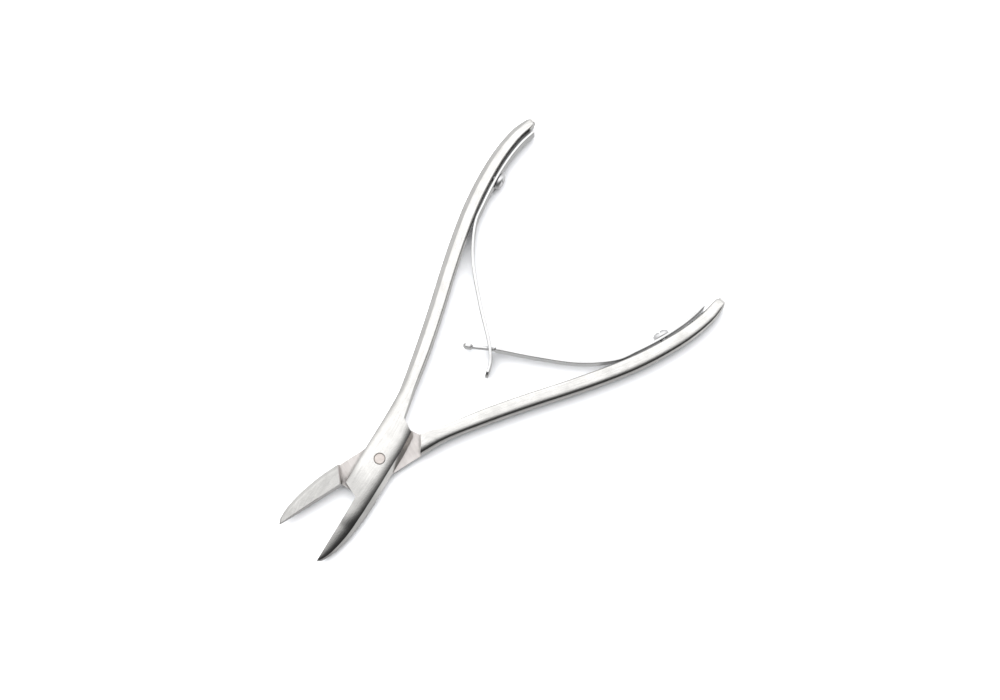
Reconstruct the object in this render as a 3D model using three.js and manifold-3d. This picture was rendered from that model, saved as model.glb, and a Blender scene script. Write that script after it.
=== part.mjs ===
// Spring-handled steel pliers with a lap joint, lying flat and open.
//
// Two identical arms cross at a flush rivet. One lies face up, the other is the same forging turned
// over, so each carries a half-thick lap plate, a bowed handle and a blade-like jaw. A leaf spring is
// screwed inside each handle. The tongue of one leaf passes through a slot in the other.
//
// Frame, in millimetres: the origin is on the rivet's axis at the plane the pliers lie on, +Z is up and
// +Y runs along the pliers from the joint to the handles, midway between them.
import * as THREE from "three";
import { mergeVertices } from "three/addons/utils/BufferGeometryUtils.js";
import Module from "manifold-3d";

const wasm = await Module();
wasm.setup();

// ---------------------------------------------------------------- driving dimensions

const THICKNESS = 7.0; // over the joint, and of the handles at their deepest
const MID = THICKNESS / 2; // height of the lap's sliding plane
const LAP_GAP = 0.1; // between the two lap plates
const OPEN_ANGLE = THREE.MathUtils.degToRad(12.6); // each arm's turn from closed to this pose

const MEETING_GAP = 0.06; // from the centre plane to each jaw's edge when the jaws are closed
const STEP_GAP = 0.18; // between one arm's shoulder and the other's step when closed

const RIVET_RADIUS = 1.6; // of its flush heads
const RIVET_SHANK_RADIUS = 1.25;
const RIVET_HEAD_DEPTH = 0.9;
const RIVET_CLEARANCE = 0.06;

const LEAF_THICKNESS = 0.9;
const LEAF_WIDTH = 5.8;
const LEAF_SEAT_GAP = 0.45; // between a leaf and the handle, at the screw and on towards the joint
const LEAF_END_GAP = 0.8; // between them at the leaf's end, where the handle curves away
const SLOT_HEIGHT = 3.4;
const SLOT_REACH = 2.9; // of the slot, each way from where the leaves cross
const TONGUE_HEIGHT = 2.6;
const TONGUE_SETBACK = 2.0; // from the shoulders of the tongue to where the leaves cross
const KNOB_HEIGHT = 4.8;
const KNOB_THICKNESS = 1.3;
const KNOB_LENGTH = 2.6;

const SCREW_HEAD_RADIUS = 2.5;
const SCREW_HEAD_HEIGHT = 1.8;
const SCREW_SHANK_RADIUS = 1.1;
const SCREW_DEPTH = 2.5; // into the handle
const SCREW_CLEARANCE = 0.1;
const SCREW_SLOT_WIDTH = 0.6;
const SCREW_SLOT_DEPTH = 0.7;

const LEAF_STEPS = 70; // stretches that a leaf is divided into
const RING_SIDES = 24; // of an arm's cross-section
const ROUND_SIDES = 28; // of the rivet and the screws
const WELD_DISTANCE = 1e-4; // points nearer than this are one point

// The face-up arm, drawn closed. Each station is a cross-section of the arm from its left edge to its
// right edge: [left x, y], [right x, y], half depth, then how square its left and right sides are.
// 2 is an ellipse and 9 is nearly a box.
const JAW_EDGE = MEETING_GAP;
const JAW_STATIONS = [
  [[JAW_EDGE, -35.4], [0.4, -35.5], 0.7, 5, 3],
  [[JAW_EDGE, -34.8], [1.1, -34.7], 1.1, 6, 2.6],
  [[JAW_EDGE, -33.7], [1.9, -33.4], 1.5, 7, 2.5],
  [[JAW_EDGE, -31.6], [2.9, -31.1], 1.9, 8, 2.5],
  [[JAW_EDGE, -28.8], [3.75, -28.1], 2.25, 9, 2.5],
  [[JAW_EDGE, -25.4], [4.5, -24.6], 2.6, 9, 2.5],
  [[JAW_EDGE, -21.2], [5.05, -20.2], 2.95, 9, 2.5],
  [[JAW_EDGE, -17.0], [5.3, -15.8], 3.25, 9, 2.6],
  [[JAW_EDGE, -13.5], [5.4, -12.2], 3.45, 9, 2.8],
];
const PLATE_STATIONS = [
  [[-5.2, -11.0], [5.4, -11.4], MID, 5, 3],
  [[-5.35, -8.0], [5.4, -8.4], MID, 5, 3],
  [[-5.5, 0], [5.35, 0], MID, 4.5, 3.2],
  [[-5.55, 8.4], [5.25, 7.8], MID, 4, 5],
  [[-5.6, 11.7], [4.7, 11.2], MID, 3.6, 5],
];
const HANDLE_STATIONS = [
  [[-5.65, 14], [-0.45, 14.3], MID, 3, 9],
  [[-6.35, 21.46], [-2.1, 22.5], MID, 2.7, 9],
  [[-8.94, 33.7], [-4.4, 35.0], MID, 2.5, 9],
  [[-12.04, 46.49], [-7.5, 47.8], MID, 2.5, 9],
  [[-15.14, 58.09], [-10.6, 59.3], MID, 2.5, 9],
  [[-17.84, 69.2], [-13.3, 70.3], MID, 2.5, 9],
  [[-19.85, 79.74], [-15.3, 80.4], MID, 2.5, 9],
  [[-20.85, 90.18], [-16.35, 90.4], MID, 2.5, 9],
  [[-20.8, 99.43], [-16.5, 99.0], 3.4, 2.5, 9],
  [[-19.64, 107.09], [-15.7, 106.0], 3.2, 2.6, 8],
  [[-18.32, 111.36], [-14.6, 110.4], 2.8, 3, 6],
  [[-17.47, 112.85], [-14.4, 112.0], 2.3, 3, 5],
  [[-16.92, 113.42], [-14.8, 112.7], 1.7, 3, 5],
];
const HANDLE_UNDER_POWER = 5; // how square the underside's outer edge is, along the handle
const RINGS_PER_STRETCH = { jaw: 15, plate: 7, handle: 27 };

// The shoulder where the lap plate ends on the handle side, and the one on the jaw side. The other
// arm's steps stand against them when the pliers are closed.
const HANDLE_SHOULDER = { inner: [-0.45, 14.3], outer: [4.7, 11.2] };
const JAW_SHOULDER = { inner: [MEETING_GAP, -13.5], outer: [-5.2, -11.0] };

// Where a leaf lies along its handle, and how its free part runs, in the open pose. The path is that of
// the leaf on the left handle. The right one is its mirror image up to the crossing.
const LEAF_CROSSING = [0, 47.0];
const SLOTTED_LEAF_START = 109.8; // y of a leaf's end along its handle, drawn closed
const TONGUE_LEAF_START = 107.3;
const LEAF_SEAT_LAST = 82.0; // from here the leaf leaves the handle
const LEAF_FREE_PATH = [[-30.3, 72.0], [-26.4, 66.7], [-21.6, 61.9], [-12.0, 54.9]];
const SLOTTED_LEAF_TIP = [[3.4, 43.6], [5.3, 40.0]];
const TONGUE_LEAF_TIP = [[3.3, 44.4], [6.5, 42.1]];
const SCREW_STATION = 91.2; // y of a screw along its handle, drawn closed

// ---------------------------------------------------------------- materials

const satinSteel = new THREE.MeshStandardMaterial({ color: 0xd6d4d0, roughness: 0.3, metalness: 1 });
const springSteel = new THREE.MeshStandardMaterial({ color: 0xc9cacb, roughness: 0.25, metalness: 1 });
const rivetSteel = new THREE.MeshStandardMaterial({ color: 0xd8cdc4, roughness: 0.4, metalness: 1 });
const screwSteel = new THREE.MeshStandardMaterial({ color: 0xbfc0c2, roughness: 0.28, metalness: 1 });

// ---------------------------------------------------------------- solids

// A three.js geometry as a solid that can be joined and cut.
function solidOf(geometry) {
  const bare = geometry.clone();
  bare.deleteAttribute("normal");
  bare.deleteAttribute("uv");
  const merged = mergeVertices(bare, WELD_DISTANCE);
  return new wasm.Manifold(
    new wasm.Mesh({
      numProp: 3,
      vertProperties: merged.getAttribute("position").array,
      triVerts: new Uint32Array(merged.index.array),
    }),
  );
}

function meshOf(solid, name, material) {
  const made = solid.getMesh();
  const geometry = new THREE.BufferGeometry();
  geometry.setAttribute("position", new THREE.BufferAttribute(made.vertProperties, made.numProp));
  geometry.setIndex(new THREE.BufferAttribute(made.triVerts, 1));
  geometry.computeVertexNormals();
  const mesh = new THREE.Mesh(geometry, material);
  mesh.name = name;
  return mesh;
}

// A bar whose cross-section changes along it: a cylinder's rings of points, each moved to its place.
// place(ring, side, onAxis) gives a point by its ring and its place round the ring, both from 0.
function reshapedBar(ringCount, sides, place) {
  const geometry = new THREE.CylinderGeometry(1, 1, 1, sides, ringCount - 1);
  const position = geometry.getAttribute("position");
  const point = new THREE.Vector3();
  for (let i = 0; i < position.count; i += 1) {
    point.fromBufferAttribute(position, i);
    const ring = Math.round((point.y + 0.5) * (ringCount - 1));
    const onAxis = Math.hypot(point.x, point.z) < 0.5;
    const turn = Math.atan2(point.z, point.x) / (2 * Math.PI);
    const placed = place(ring, (Math.round(turn * sides) + sides) % sides, onAxis);
    position.setXYZ(i, placed.x, placed.y, placed.z);
  }
  return solidOf(geometry);
}

// A prism that stands on an outline of plan points, from z = low to z = high.
function prism(points, low, high) {
  const shape = new THREE.Shape(points.map(([x, y]) => new THREE.Vector2(x, y)));
  const geometry = new THREE.ExtrudeGeometry(shape, { depth: high - low, bevelEnabled: false });
  geometry.translate(0, 0, low);
  return solidOf(geometry);
}

// A solid of revolution about Z from [radius, z] pairs that start and end on the axis.
function turned(profile) {
  const geometry = new THREE.LatheGeometry(
    profile.map(([radius, z]) => new THREE.Vector2(radius, z)),
    ROUND_SIDES,
  );
  geometry.rotateX(Math.PI / 2);
  return solidOf(geometry);
}

// ---------------------------------------------------------------- the arm

const mirrored = ([x, y]) => [-x, y];

// The stations of one stretch, filled in with smooth ones between them. The underside's left edge is as
// square as the upper one unless a power is given for it.
function filledStretch(stations, count, underPower) {
  const curveOf = (values) => new THREE.CatmullRomCurve3(values, false, "centripetal");
  const left = curveOf(stations.map(([l]) => new THREE.Vector3(l[0], l[1], 0)));
  const right = curveOf(stations.map(([, r]) => new THREE.Vector3(r[0], r[1], 0)));
  return Array.from({ length: count }, (_, i) => {
    const t = i / (count - 1);
    const along = t * (stations.length - 1);
    const before = Math.min(Math.floor(along), stations.length - 2);
    const share = along - before;
    const between = (column) =>
      THREE.MathUtils.lerp(stations[before][column], stations[before + 1][column], share);
    return {
      left: left.getPoint(t),
      right: right.getPoint(t),
      halfDepth: between(2),
      leftPower: between(3),
      underLeftPower: underPower ?? between(3),
      rightPower: between(4),
    };
  });
}

const ARM_RINGS = [
  ...filledStretch(JAW_STATIONS, RINGS_PER_STRETCH.jaw),
  ...filledStretch(PLATE_STATIONS, RINGS_PER_STRETCH.plate),
  ...filledStretch(HANDLE_STATIONS, RINGS_PER_STRETCH.handle, HANDLE_UNDER_POWER),
];

const signedPower = (value, power) => Math.sign(value) * Math.abs(value) ** power;

// The whole outer shape of the arm before its lap is cut, with z = 0 at the lap's sliding plane.
function armBlank() {
  return reshapedBar(ARM_RINGS.length, RING_SIDES, (ringIndex, side, onAxis) => {
    const ring = ARM_RINGS[ringIndex];
    const angle = (2 * Math.PI * side) / RING_SIDES;
    const leftPower = Math.sin(angle) < 0 ? ring.underLeftPower : ring.leftPower;
    const power = Math.cos(angle) < 0 ? leftPower : ring.rightPower;
    const across = onAxis ? 0 : signedPower(Math.cos(angle), 2 / power);
    const up = onAxis ? 0 : signedPower(Math.sin(angle), 2 / power);
    const place = ring.left.clone().lerp(ring.right, (1 + across) / 2);
    place.z = up * ring.halfDepth;
    return place;
  });
}

// The straight line of a shoulder, carried on past both its ends and moved away from the joint.
function stepLine(shoulder, gap) {
  const inner = new THREE.Vector2(...shoulder.inner);
  const outer = new THREE.Vector2(...shoulder.outer);
  const along = outer.clone().sub(inner).normalize();
  const away = new THREE.Vector2(-along.y, along.x);
  if (away.dot(inner) < 0) away.negate();
  const reach = 12; // past both sides of the arm
  return [
    inner.clone().addScaledVector(along, -reach).addScaledVector(away, gap).toArray(),
    outer.clone().addScaledVector(along, reach).addScaledVector(away, gap).toArray(),
  ];
}

// The room for the other arm's lap plate. That arm is this one turned over, so its shoulders are the
// mirror images of this arm's own.
function lapRecess() {
  const [handleInner, handleOuter] = stepLine(HANDLE_SHOULDER, STEP_GAP).map(mirrored);
  const [jawInner, jawOuter] = stepLine(JAW_SHOULDER, STEP_GAP).map(mirrored);
  return prism([handleOuter, jawInner, jawOuter, handleInner], -THICKNESS, LAP_GAP / 2);
}

// Half the rivet's hole, from the sliding plane out to this arm's face.
function rivetHole() {
  const shank = RIVET_SHANK_RADIUS + RIVET_CLEARANCE;
  const head = RIVET_RADIUS + RIVET_CLEARANCE;
  return turned([
    [0, -1],
    [shank, -1],
    [shank, MID - RIVET_HEAD_DEPTH],
    [head, MID],
    [head, MID + 1],
    [0, MID + 1],
  ]);
}

// The right-hand (inner) side of the handle, drawn closed, as a curve from the joint to the end.
const HANDLE_INSIDE = new THREE.CatmullRomCurve3(
  HANDLE_STATIONS.map(([, [x, y]]) => new THREE.Vector3(x, y, 0)),
  false,
  "centripetal",
);

// The point and the inward direction on the handle's inner side at a height y along the pliers.
function insideAt(y) {
  let low = 0;
  let high = 1;
  const halvings = 40;
  for (let i = 0; i < halvings; i += 1) {
    const middle = (low + high) / 2;
    if (HANDLE_INSIDE.getPoint(middle).y < y) low = middle;
    else high = middle;
  }
  const tangent = HANDLE_INSIDE.getTangent(low);
  return {
    point: HANDLE_INSIDE.getPoint(low),
    inward: new THREE.Vector3(tangent.y, -tangent.x, 0).normalize(),
  };
}

const seat = insideAt(SCREW_STATION);

// Turns a solid made about Z so that its +Z points out of the handle's inner side, at the screw.
function atScrewSeat(solid) {
  const place = new THREE.Matrix4().makeRotationFromQuaternion(
    new THREE.Quaternion().setFromUnitVectors(new THREE.Vector3(0, 0, 1), seat.inward),
  );
  place.setPosition(seat.point);
  return solid.transform(place.elements);
}

function screwHole() {
  const radius = SCREW_SHANK_RADIUS + SCREW_CLEARANCE;
  const depth = SCREW_DEPTH + SCREW_CLEARANCE;
  return turned([[0, -depth], [radius, -depth], [radius, 1], [0, 1]]);
}

function armSolid() {
  return armBlank()
    .subtract(lapRecess())
    .subtract(rivetHole())
    .subtract(atScrewSeat(screwHole()));
}

// ---------------------------------------------------------------- rivet and screws

function rivetSolid() {
  const foot = RIVET_CLEARANCE; // keeps each head's rim inside its countersink
  return turned([
    [0, -MID],
    [RIVET_RADIUS, -MID],
    [RIVET_SHANK_RADIUS, -MID + RIVET_HEAD_DEPTH + foot],
    [RIVET_SHANK_RADIUS, MID - RIVET_HEAD_DEPTH - foot],
    [RIVET_RADIUS, MID],
    [0, MID],
  ]);
}

function screwSolid() {
  const seatHeight = LEAF_SEAT_GAP + LEAF_THICKNESS + SCREW_CLEARANCE;
  const headTop = seatHeight + SCREW_HEAD_HEIGHT;
  const dome = [[1, 0.5], [0.86, 0.82], [0.5, 1]]; // shares of the head's radius and height
  const screw = turned([
    [0, -SCREW_DEPTH],
    [SCREW_SHANK_RADIUS, -SCREW_DEPTH],
    [SCREW_SHANK_RADIUS, seatHeight],
    [SCREW_HEAD_RADIUS, seatHeight],
    ...dome.map(([out, up]) => [out * SCREW_HEAD_RADIUS, seatHeight + up * SCREW_HEAD_HEIGHT]),
    [0, headTop],
  ]);
  const slot = new THREE.BoxGeometry(3 * SCREW_HEAD_RADIUS, SCREW_SLOT_WIDTH, 2 * SCREW_SLOT_DEPTH);
  slot.translate(0, 0, headTop);
  return screw.subtract(solidOf(slot));
}

// ---------------------------------------------------------------- leaf springs

// The middle of the leaf on the left handle, in the open pose, from its end near the handle's tip, at
// start, to its free end.
function leafPath(start, tip) {
  const seated = [];
  const seatPoints = 7;
  for (let i = 0; i < seatPoints; i += 1) {
    const y = THREE.MathUtils.lerp(start, LEAF_SEAT_LAST, i / (seatPoints - 1));
    const { point, inward } = insideAt(y);
    const beyondScrew = Math.max(0, (y - SCREW_STATION) / (start - SCREW_STATION));
    const gap = THREE.MathUtils.lerp(LEAF_SEAT_GAP, LEAF_END_GAP, beyondScrew);
    point.addScaledVector(inward, gap + LEAF_THICKNESS / 2);
    seated.push(point.applyAxisAngle(new THREE.Vector3(0, 0, 1), OPEN_ANGLE));
  }
  const free = [...LEAF_FREE_PATH, LEAF_CROSSING, ...tip];
  return new THREE.CatmullRomCurve3(
    [...seated, ...free.map(([x, y]) => new THREE.Vector3(x, y, 0))],
    false,
    "centripetal",
  );
}

// A strip on edge along a path. section(share) gives its height and thickness at a share of the length.
function strip(path, section) {
  const corners = 4;
  return reshapedBar(LEAF_STEPS + 1, corners, (ring, corner, onAxis) => {
    const share = ring / LEAF_STEPS;
    const place = path.getPointAt(share);
    if (onAxis) return place;
    const { height, thickness } = section(share);
    const tangent = path.getTangentAt(share);
    const toTheRight = new THREE.Vector3(tangent.y, -tangent.x, 0);
    place.addScaledVector(toTheRight, (corner < 2 ? thickness : -thickness) / 2);
    place.z = (corner === 1 || corner === 2 ? height : -height) / 2;
    return place;
  });
}

// The share of a path's length at which it crosses the pliers' middle plane.
function crossingShare(path) {
  const tries = 400;
  for (let i = 0; i <= tries; i += 1) {
    if (path.getPointAt(i / tries).x >= LEAF_CROSSING[0]) return i / tries;
  }
  return 1;
}

// The hole for the screw through a leaf on the left handle, in the open pose.
function leafScrewHole() {
  const radius = SCREW_SHANK_RADIUS + SCREW_CLEARANCE;
  const through = 3; // out past the leaf's far face
  const hole = turned([[0, -1], [radius, -1], [radius, through], [0, through]]);
  return atScrewSeat(hole).rotate(0, 0, THREE.MathUtils.radToDeg(OPEN_ANGLE));
}

function slottedLeaf() {
  const path = leafPath(SLOTTED_LEAF_START, SLOTTED_LEAF_TIP);
  const leaf = strip(path, () => ({ height: LEAF_WIDTH, thickness: LEAF_THICKNESS }));
  const tangent = path.getTangentAt(crossingShare(path));
  const slot = new THREE.BoxGeometry(2 * SLOT_REACH, 4 * LEAF_THICKNESS, SLOT_HEIGHT);
  slot.rotateZ(Math.atan2(tangent.y, tangent.x));
  slot.translate(...LEAF_CROSSING, 0);
  return leaf.subtract(solidOf(slot)).subtract(leafScrewHole());
}

function tongueLeaf() {
  const path = leafPath(TONGUE_LEAF_START, TONGUE_LEAF_TIP);
  const neck = crossingShare(path) - TONGUE_SETBACK / path.getLength();
  const knob = 1 - KNOB_LENGTH / path.getLength();
  const leaf = strip(path, (share) => {
    if (share < neck) return { height: LEAF_WIDTH, thickness: LEAF_THICKNESS };
    if (share < knob) return { height: TONGUE_HEIGHT, thickness: LEAF_THICKNESS };
    return { height: KNOB_HEIGHT, thickness: KNOB_THICKNESS };
  });
  return leaf.subtract(leafScrewHole());
}

// ---------------------------------------------------------------- assembly

// Everything on the left side is made face up, and everything on the right is turned over about the
// pliers' long axis. The root group lifts the sliding plane to its height over the resting plane.
const pliers = new THREE.Group();
pliers.position.z = MID;

const faceUpArm = new THREE.Group();
faceUpArm.rotation.z = OPEN_ANGLE;
const arm = armSolid();
const screw = atScrewSeat(screwSolid());
faceUpArm.add(meshOf(arm, "upper_arm", satinSteel), meshOf(screw, "upper_spring_screw", screwSteel));

const turnedOver = new THREE.Group();
turnedOver.rotation.y = Math.PI;
const faceDownArm = new THREE.Group();
faceDownArm.rotation.z = OPEN_ANGLE;
faceDownArm.add(meshOf(arm, "lower_arm", satinSteel), meshOf(screw, "lower_spring_screw", screwSteel));
turnedOver.add(faceDownArm, meshOf(tongueLeaf(), "lower_spring", springSteel));

pliers.add(
  faceUpArm,
  turnedOver,
  meshOf(rivetSolid(), "pivot_rivet", rivetSteel),
  meshOf(slottedLeaf(), "upper_spring", springSteel),
);

export default pliers;
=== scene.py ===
"""Spring-handled steel pliers: the fine model, its materials, the studio and the camera.

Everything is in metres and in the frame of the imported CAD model: the origin is on the rivet's axis at
the plane that the pliers lie on, +Y runs along them to the handles and +Z is up. Shapes are drawn in
millimetres, as on a drawing, and become metres when a mesh is made.
"""

import math

import bmesh
import bpy
import numpy as np
from mathutils import Matrix, Vector


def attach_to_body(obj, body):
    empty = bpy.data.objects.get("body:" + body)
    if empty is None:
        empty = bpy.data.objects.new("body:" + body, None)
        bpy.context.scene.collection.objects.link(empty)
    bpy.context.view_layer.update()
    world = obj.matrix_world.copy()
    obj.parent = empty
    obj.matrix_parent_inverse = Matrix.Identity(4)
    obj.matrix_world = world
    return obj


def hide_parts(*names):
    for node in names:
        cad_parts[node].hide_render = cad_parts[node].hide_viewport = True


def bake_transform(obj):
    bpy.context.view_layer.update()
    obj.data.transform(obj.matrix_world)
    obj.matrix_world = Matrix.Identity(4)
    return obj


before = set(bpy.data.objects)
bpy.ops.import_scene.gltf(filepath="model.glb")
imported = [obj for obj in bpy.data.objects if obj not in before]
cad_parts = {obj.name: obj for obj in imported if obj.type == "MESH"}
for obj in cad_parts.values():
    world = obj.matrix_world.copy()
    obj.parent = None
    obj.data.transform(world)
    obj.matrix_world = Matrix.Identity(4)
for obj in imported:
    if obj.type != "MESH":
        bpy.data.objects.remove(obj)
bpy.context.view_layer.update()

# ---------------------------------------------------------------- driving dimensions, millimetres

MM = 0.001
THICKNESS = 7.0  # over the joint, and of the handles at their deepest
MID = THICKNESS / 2  # height of the lap's sliding plane
LAP_GAP = 0.1  # between the two lap plates
OPEN_ANGLE = math.radians(12.6)  # each arm's turn from closed to this pose

MEETING_GAP = 0.06  # from the centre plane to each jaw's edge when closed
STEP_GAP = 0.18  # between one arm's shoulder and the other's step when closed
STEP_FILLET = 0.3  # at the foot of a step
STEP_CHAMFER = 0.28  # at the top of a step

RIVET_RADIUS = 1.6
RIVET_SHANK_RADIUS = 1.25
RIVET_HEAD_DEPTH = 0.9
RIVET_CLEARANCE = 0.06
RIVET_CHAMFER = 0.13  # on the rivet's rim and on the hole's, which leaves a fine ring groove

LEAF_THICKNESS = 0.9
LEAF_WIDTH = 5.8
LEAF_CORNER = 0.2
LEAF_TIP_BEVEL = 1.2  # length and depth of the bevels on the slotted leaf's free end
LEAF_SEAT_GAP = 0.45  # between a leaf and the handle, at the screw and on towards the joint
LEAF_END_GAP = 0.8  # between them at the leaf's end, where the handle curves away
SLOT_HEIGHT = 3.4
SLOT_REACH = 2.9
TONGUE_HEIGHT = 2.6
TONGUE_SETBACK = 2.0
KNOB_HEIGHT = 4.8
KNOB_THICKNESS = 1.3
KNOB_LENGTH = 2.6
KNOB_TIP_BEVEL = 0.7  # length of the bevels on the knob's end
KNOB_TIP_TAPER = 0.45  # share of the knob's height and thickness that they take
TONGUE_EASE = 0.5  # length over which one width of the leaf turns into the next
LEAF_END_SHARES = (0.86, 0.86, 0.96)  # what is left of a leaf's section at its two ends

SCREW_HEAD_RADIUS = 2.5
SCREW_HEAD_HEIGHT = 1.8
SCREW_SHANK_RADIUS = 1.1
SCREW_DEPTH = 2.5
SCREW_CLEARANCE = 0.1
SCREW_SLOT_WIDTH = 0.6
SCREW_SLOT_DEPTH = 0.7
SCREW_SLOT_LIP = 0.1  # how far the slot opens on each side at the top
SCREW_EDGE = 0.12  # chamfer under the head
SCREW_RIM_SHARE = 0.42  # of the head's height, below its dome
SCREW_DOME_POWER = 0.8  # 1 would be a true ellipse, and less is flatter on top
SCREW_STATION = 91.2  # y along the closed pliers

# The face-up arm, drawn closed: [left x, y], [right x, y], half depth, where its crown lies from left to
# right (0 to 1), and how square the left and right sides are (2 is an ellipse, 9 nearly a box).
JAW_STATIONS = [
    [(0.06, -35.15), (0.4, -35.25), 0.7, 0.1, 14, 2.7],
    [(0.06, -34.8), (1.1, -34.7), 1.1, 0.1, 14, 2.7],
    [(0.06, -33.7), (1.9, -33.4), 1.5, 0.08, 14, 2.7],
    [(0.06, -31.6), (2.9, -31.1), 1.9, 0.06, 14, 2.6],
    [(0.06, -28.8), (3.75, -28.1), 2.25, 0.05, 14, 2.55],
    [(0.06, -25.4), (4.5, -24.6), 2.6, 0.05, 14, 2.5],
    [(0.06, -21.2), (5.05, -20.2), 2.95, 0.05, 14, 2.5],
    [(0.06, -13.5), (5.35, -16.01), 3.5, 0.05, 14, 2.8],
]
PLATE_STATIONS = [
    [(-5.2, -11.0), (5.35, -16.01), 3.5, 0.5, 9, 3.0],
    [(-5.3, -6.5), (5.42, -9.5), 3.5, 0.5, 8, 3.0],
    [(-5.5, 1.5), (5.35, -1.0), 3.5, 0.5, 6, 3.1],
    [(-5.6, 10.0), (5.2, 6.0), 3.5, 0.5, 4.5, 3.2],
    [(-5.84, 17.54), (4.7, 11.2), 3.5, 0.4, 3.6, 3.2],
]
HANDLE_STATIONS = [
    [(-5.84, 17.54), (-0.45, 14.3), 3.5, 0.7, 2.8, 7],
    [(-6.35, 21.46), (-2.1, 22.5), 3.5, 0.7, 2.8, 7],
    [(-8.94, 33.7), (-4.4, 35.0), 3.5, 0.7, 2.8, 7],
    [(-12.04, 46.49), (-7.5, 47.8), 3.5, 0.7, 2.8, 7],
    [(-15.14, 58.09), (-10.6, 59.3), 3.5, 0.7, 2.8, 7],
    [(-17.84, 69.2), (-13.3, 70.3), 3.5, 0.7, 2.8, 7],
    [(-19.85, 79.74), (-15.3, 80.4), 3.5, 0.7, 2.8, 7],
    [(-20.85, 90.18), (-16.35, 90.4), 3.5, 0.7, 2.8, 7],
    [(-20.8, 99.43), (-16.5, 99.0), 3.4, 0.7, 2.8, 7],
    [(-19.64, 107.1), (-15.7, 106.0), 3.2, 0.66, 2.8, 7],
    [(-18.16, 111.07), (-14.6, 110.1), 2.8, 0.6, 2.8, 6],
    [(-17.43, 112.34), (-14.5, 111.5), 2.4, 0.55, 3.0, 5],
    [(-17.09, 112.74), (-14.7, 112.0), 2.0, 0.5, 3.0, 4],
]
UNDER_POWER = 5.0  # how square the underside's outer edge is, along the plate and the handle
RINGS = {"jaw": 56, "plate": 36, "handle": 150}
JAW_EASE, HANDLE_EASE = 12, 24  # rings over which each grows out of the plate's section
TIP_ROUND, END_ROUND = 0.25, 0.45  # rounds on the jaw's tip and on the handle's end
HANDLE_SHOULDER = ((-0.45, 14.3), (4.7, 11.2))
JAW_SHOULDER = ((0.06, -13.5), (-5.2, -11.0))

HANDLE_FACET = 1.6  # width of the flat along the outer side of the handle's face
# The flat ground along the outer side of the lap plate and the jaw narrows towards the tip.
PLATE_FACET = 1.15
TIP_FACET = 0.4
FACET_NARROWS_FROM = -15.0  # y along the closed pliers
FACET_NARROWS_TO = -33.0
JAW_BEVEL = 1.1  # width of the bevel along the outer side of the jaw's flat underside
JAW_BEVEL_DROP = 0.32
FACET_MOST, BEVEL_MOST, DROP_MOST = 0.6, 0.45, 0.4  # their largest shares of a narrow section
QUARTER_POINTS = 14  # of a quarter of the arm's cross-section
FACET_POINTS = 4  # of those, on the side facet
BEVEL_POINTS = 4  # of those, on the jaw's bevel
UNFACETED_SPLIT = math.radians(28)  # where those points end on a side without a facet

LEAF_CROSSING = (0, 47.0)
SLOTTED_LEAF_START = 109.8
TONGUE_LEAF_START = 107.3
LEAF_SEAT_LAST = 82.0
LEAF_FREE_PATH = [(-30.3, 72.0), (-26.4, 66.7), (-21.6, 61.9), (-12.0, 54.9)]
SLOTTED_LEAF_TIP = [(3.4, 43.6), (5.3, 40.0)]
TONGUE_LEAF_TIP = [(3.3, 44.4), (6.5, 42.1)]
LEAF_STEPS = 320

# The camera looks at the pliers as they lie.
CAMERA_AIM = (0.00202, 0.04926, 0.0)
CAMERA_AZIMUTH = math.radians(44.3)
CAMERA_ELEVATION = math.radians(81.0)
CAMERA_DISTANCE = 0.7
CAMERA_LENS = 83.2

MERGE_DISTANCE = 0.0004 * MM  # points closer than this are one
SHARP_ANGLE = math.radians(28)  # edges sharper than this stay sharp

# ---------------------------------------------------------------- curves


def spline(points, count):
    """Points evenly spread along a centripetal Catmull-Rom curve through the points given."""
    knots = [np.array(p, float) for p in points]
    knots = [2 * knots[0] - knots[1], *knots, 2 * knots[-1] - knots[-2]]
    spans = len(knots) - 3
    found = []
    for along in np.linspace(0, spans, count):
        first = min(int(along), spans - 1)
        p0, p1, p2, p3 = knots[first:first + 4]
        t1 = np.linalg.norm(p1 - p0) ** 0.5
        t2 = t1 + np.linalg.norm(p2 - p1) ** 0.5
        t3 = t2 + np.linalg.norm(p3 - p2) ** 0.5
        t = t1 + (along - first) * (t2 - t1)
        a1 = (t1 - t) / t1 * p0 + t / t1 * p1
        a2 = (t2 - t) / (t2 - t1) * p1 + (t - t1) / (t2 - t1) * p2
        a3 = (t3 - t) / (t3 - t2) * p2 + (t - t2) / (t3 - t2) * p3
        b1 = (t2 - t) / t2 * a1 + t / t2 * a2
        b2 = (t3 - t) / (t3 - t1) * a2 + (t - t1) / (t3 - t1) * a3
        found.append((t2 - t) / (t2 - t1) * b1 + (t - t1) / (t2 - t1) * b2)
    return np.array(found)


def smoothstep(x):
    x = min(max(x, 0.0), 1.0)
    return x * x * (3 - 2 * x)


def lerp(a, b, share):
    return a + (b - a) * share


# ---------------------------------------------------------------- meshes


def mesh_object(name, vertices, faces, uvs=None, material=None):
    """A mesh object from points in millimetres. uvs gives each vertex its place on the surface."""
    mesh = bpy.data.meshes.new(name)
    mesh.from_pydata([tuple(Vector(v) * MM) for v in vertices], [], faces)
    layer = mesh.uv_layers.new(name="grain")
    if uvs is not None:
        for loop in mesh.loops:
            layer.data[loop.index].uv = uvs[loop.vertex_index]
    if material is not None:
        mesh.materials.append(material)
    piece = bpy.data.objects.new(name, mesh)
    bpy.context.scene.collection.objects.link(piece)
    return piece


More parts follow.
